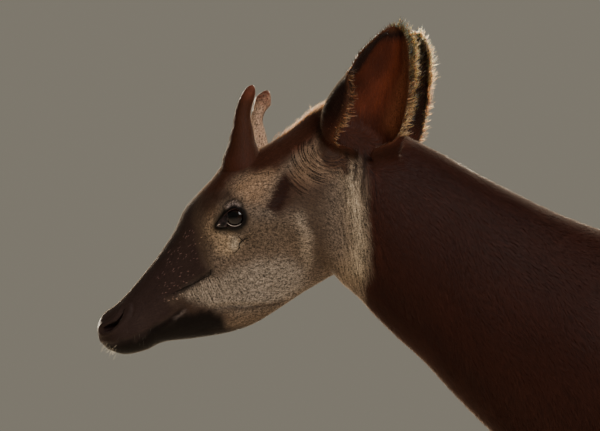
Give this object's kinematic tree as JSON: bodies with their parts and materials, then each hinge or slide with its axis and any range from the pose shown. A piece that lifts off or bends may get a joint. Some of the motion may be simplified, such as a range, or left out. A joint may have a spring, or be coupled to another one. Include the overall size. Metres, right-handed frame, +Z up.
{
  "type": "okapi",
  "caption": "Life-size okapi standing with its neck stretched forward and low, upright rounded ears, two short ossicones and a striped rump and legs.",
  "frame": {"origin": "on the floor under the middle of the model's box", "axes": "+Z up, +X from the nose towards the tail, +Y towards the animal's right side"},
  "size_m": [2.0558, 0.46, 1.8761],
  "materials": {
    "face_coat": "short soft fur, pale grey cheeks and dark muzzle",
    "dark_coat": "short glossy chocolate fur",
    "ear_coat": "short fur, warm brown inside, pale fringe",
    "leg_coat": "short fur, cream stripes over dark brown",
    "ossicone": "short fur over bone, bare tip",
    "eye": "wet and clear",
    "hoof": "smooth dark horn"
  },
  "bodies": {
    "root": {"head": "face_coat", "neck": "dark_coat", "torso": "dark_coat", "tail": "dark_coat", "tail_tuft": "dark_coat", "ear_left": "ear_coat", "ear_right": "ear_coat", "ossicone_left": "ossicone", "ossicone_right": "ossicone", "eye_left": "eye", "eye_right": "eye", "foreleg_left": "leg_coat", "foreleg_right": "leg_coat", "hindleg_left": "leg_coat", "hindleg_right": "leg_coat", "forehoof_left_outer": "hoof", "forehoof_left_inner": "hoof", "forehoof_right_outer": "hoof", "forehoof_right_inner": "hoof", "hindhoof_left_outer": "hoof", "hindhoof_left_inner": "hoof", "hindhoof_right_outer": "hoof", "hindhoof_right_inner": "hoof"}
  },
  "joints": []
}
